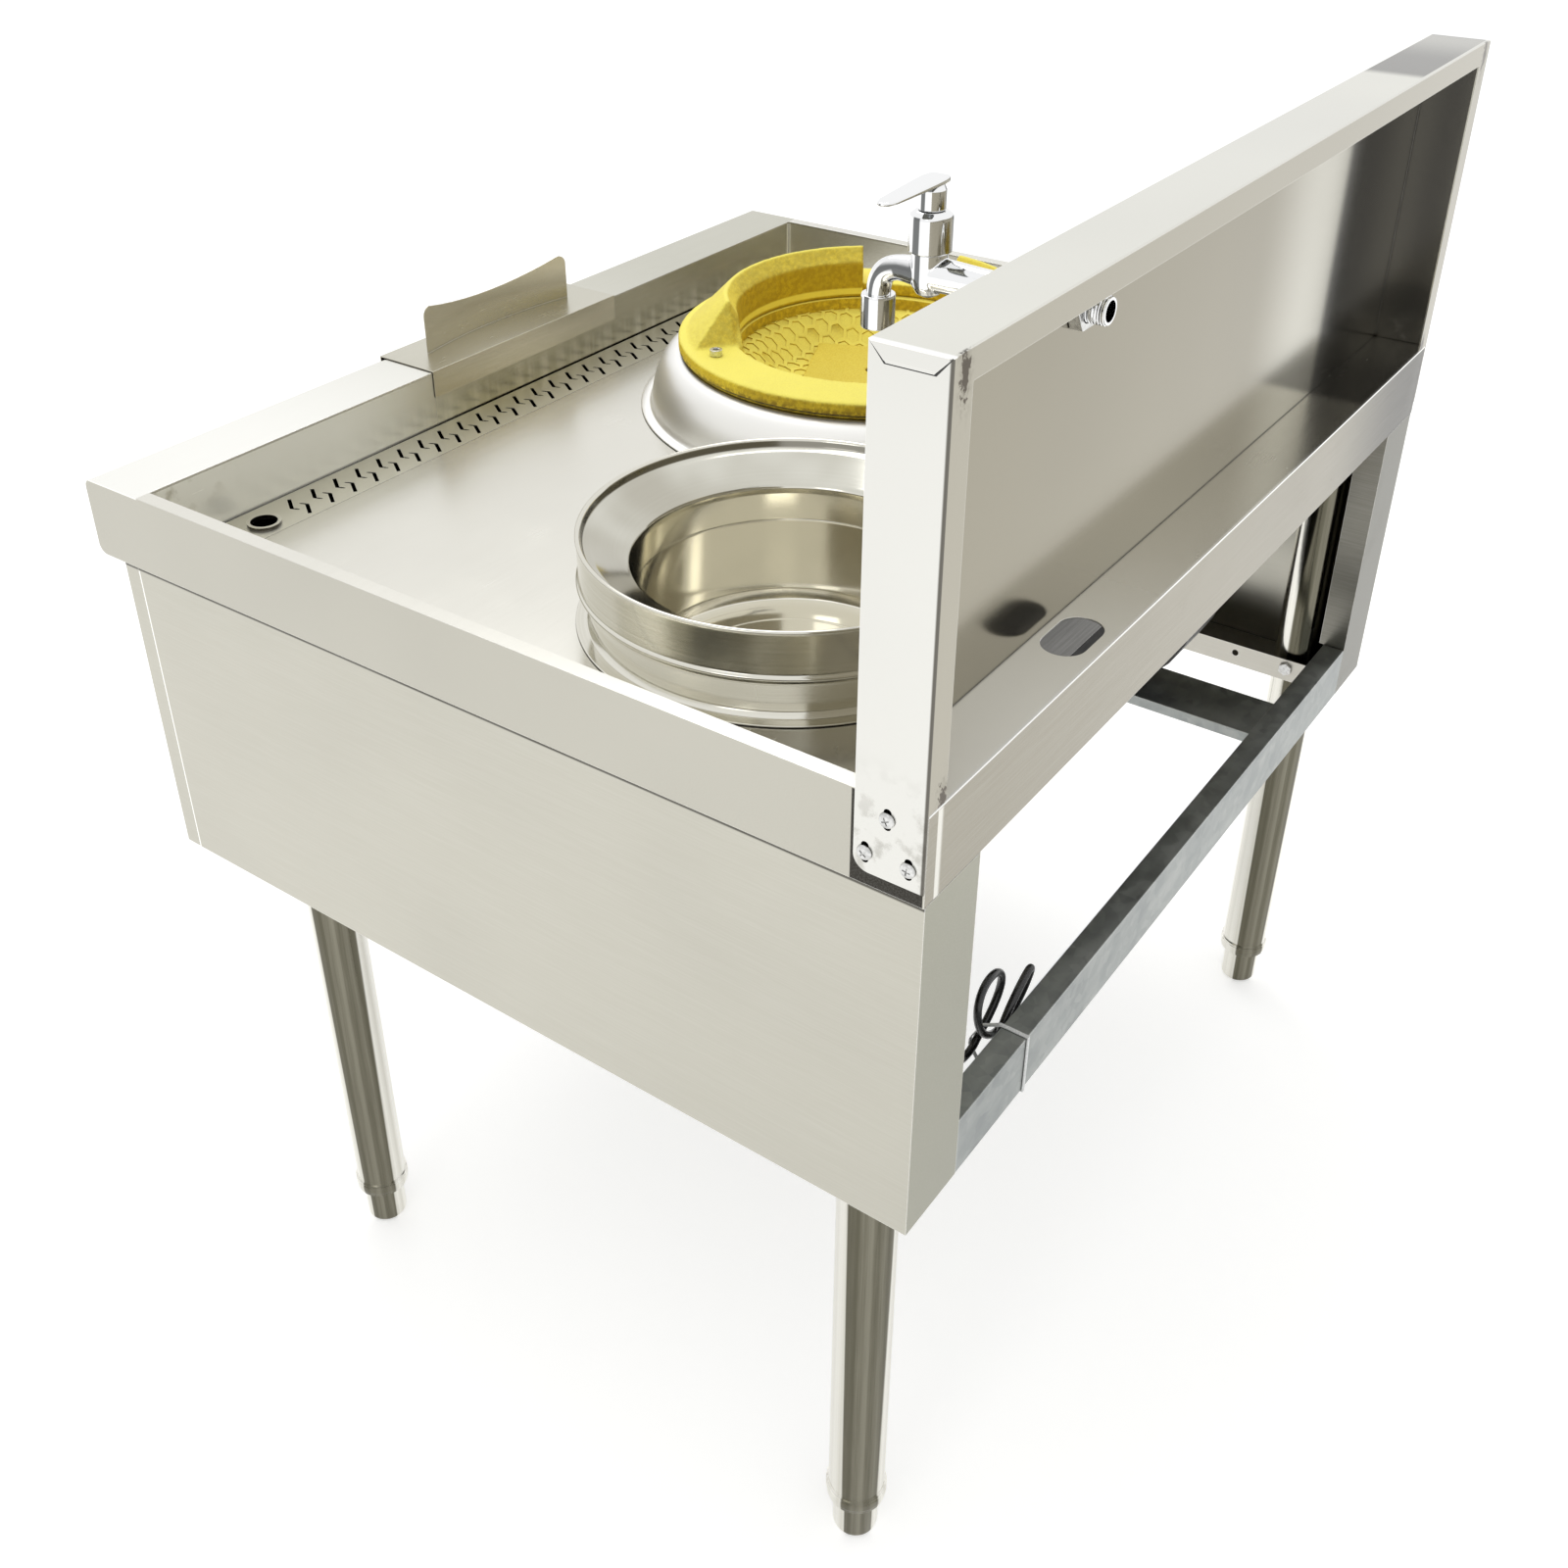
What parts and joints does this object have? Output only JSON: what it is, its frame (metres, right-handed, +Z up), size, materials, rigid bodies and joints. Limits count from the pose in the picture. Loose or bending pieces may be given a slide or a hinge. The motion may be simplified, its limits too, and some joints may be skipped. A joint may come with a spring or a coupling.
{
  "type": "wok range",
  "caption": "Stainless wok range with a sunk deck, a cast fire ring, a rear water pot, a tap on a tall backsplash, a blower and round legs on adjustable feet.",
  "frame": {"origin": "on the floor, under the middle of the deck tray", "axes": "+Z up, the cook stands at -Y and looks along +Y, +X is the cook's right"},
  "size_m": [1.0094, 0.8711, 1.1683],
  "materials": {
    "satin_stainless": "satin rolled sheet",
    "leg_stainless": "fine brushed tube",
    "polished_stainless": "spun and polished",
    "galvanised_steel": "galvanised, faint spangle",
    "chrome_plate": "bright chrome plate",
    "yellow_cast_iron": "rough casting in yellow paint",
    "black_painted_steel": "matt black",
    "zinc_plate": "zinc plate",
    "gas_brass": "plain brass",
    "red_plastic": "moulded",
    "black_plastic": "moulded",
    "black_rubber": "soft sheath",
    "white_nylon": "nylon"
  },
  "bodies": {
    "range": {"deck_tray": "satin_stainless", "backsplash": "satin_stainless", "side_panel_left": "satin_stainless", "side_panel_right": "satin_stainless", "front_panel": "satin_stainless", "side_rail_left": "satin_stainless", "side_rail_right": "satin_stainless", "burner_dome": "satin_stainless", "leg_front_left": "leg_stainless", "leg_front_right": "leg_stainless", "leg_rear_left": "leg_stainless", "leg_rear_right": "leg_stainless", "pot_collar": "polished_stainless", "rear_rail": "galvanised_steel", "front_rail": "galvanised_steel", "cross_beam": "galvanised_steel", "air_duct": "galvanised_steel", "tap_body": "chrome_plate", "wok_ring": "yellow_cast_iron", "fire_chamber": "yellow_cast_iron", "burner_block": "yellow_cast_iron", "burner_drum": "black_painted_steel", "blower_housing": "black_painted_steel", "blower_motor": "black_painted_steel", "backsplash_screw_left_top": "zinc_plate", "backsplash_screw_left_front": "zinc_plate", "backsplash_screw_left_rear": "zinc_plate", "backsplash_screw_right_top": "zinc_plate", "backsplash_screw_right_front": "zinc_plate", "backsplash_screw_right_rear": "zinc_plate", "leg_bolt_front_left": "zinc_plate", "leg_bolt_front_right": "zinc_plate", "leg_bolt_rear_left": "zinc_plate", "leg_bolt_rear_right": "zinc_plate", "ring_bolt_1": "zinc_plate", "ring_bolt_2": "zinc_plate", "ring_bolt_3": "zinc_plate", "tap_lock_nut": "zinc_plate", "gas_manifold": "gas_brass", "fan_control_box": "black_plastic", "wiring_box": "black_plastic", "cord_gland": "black_rubber", "cord_lead": "black_rubber", "cord_hank": "black_rubber", "cord_tail": "black_rubber", "power_plug": "black_rubber", "cable_tie": "white_nylon"},
    "lever": {"tap_lever": "chrome_plate"},
    "strainer": {"strainer_strip": "satin_stainless"},
    "guard": {"splash_guard": "satin_stainless"},
    "pot": {"tail_pot": "polished_stainless"},
    "main_knob": {"main_gas_knob": "red_plastic"},
    "pilot_knob": {"pilot_gas_knob": "black_plastic"},
    "fan_knob": {"fan_speed_knob": "black_plastic"},
    "rocker": {"fan_switch_rocker": "red_plastic"},
    "impeller": {"blower_impeller": "galvanised_steel"},
    "adjustable_foot_front_left": {"foot_front_left": "leg_stainless"},
    "adjustable_foot_front_right": {"foot_front_right": "leg_stainless"},
    "adjustable_foot_rear_left": {"foot_rear_left": "leg_stainless"},
    "adjustable_foot_rear_right": {"foot_rear_right": "leg_stainless"}
  },
  "joints": [
    {"name": "lever_turn", "type": "hinge", "parent": "range", "child": "lever", "pos_m": [0.243, 0.267, 1.1543], "axis": [0, 0, 1], "range_deg": [-90, 0]},
    {"name": "strainer_lift", "type": "slide", "parent": "range", "child": "strainer", "axis": [0, 0, 1], "range_m": [0, 0.06]},
    {"name": "guard_lift", "type": "slide", "parent": "range", "child": "guard", "axis": [0, 0, 1], "range_m": [0, 0.06]},
    {"name": "pot_lift", "type": "slide", "parent": "range", "child": "pot", "axis": [0, 0, 1], "range_m": [0, 0.15]},
    {"name": "main_gas_turn", "type": "hinge", "parent": "range", "child": "main_knob", "pos_m": [-0.09, -0.415, 0.705], "axis": [0, 1, 0], "range_deg": [0, 90]},
    {"name": "pilot_gas_turn", "type": "hinge", "parent": "range", "child": "pilot_knob", "pos_m": [-0.215, -0.415, 0.705], "axis": [0, 1, 0], "range_deg": [0, 90]},
    {"name": "fan_speed_turn", "type": "hinge", "parent": "range", "child": "fan_knob", "pos_m": [0.035, -0.415, 0.705], "axis": [0, 1, 0], "range_deg": [0, 270]},
    {"name": "fan_switch_rock", "type": "hinge", "parent": "range", "child": "rocker", "pos_m": [0.15, -0.3965, 0.705], "axis": [-1, 0, 0], "range_deg": [0, 12]},
    {"name": "impeller_spin", "type": "hinge", "parent": "range", "child": "impeller", "pos_m": [-0.24, 0.214, 0.6483], "axis": [1, 0, 0], "continuous": true},
    {"name": "foot_screw_front_left", "type": "slide", "parent": "range", "child": "adjustable_foot_front_left", "axis": [0, 0, -1], "range_m": [0, 0.025]},
    {"name": "foot_screw_front_right", "type": "slide", "parent": "range", "child": "adjustable_foot_front_right", "axis": [0, 0, -1], "range_m": [0, 0.025]},
    {"name": "foot_screw_rear_left", "type": "slide", "parent": "range", "child": "adjustable_foot_rear_left", "axis": [0, 0, -1], "range_m": [0, 0.025]},
    {"name": "foot_screw_rear_right", "type": "slide", "parent": "range", "child": "adjustable_foot_rear_right", "axis": [0, 0, -1], "range_m": [0, 0.025]}
  ]
}
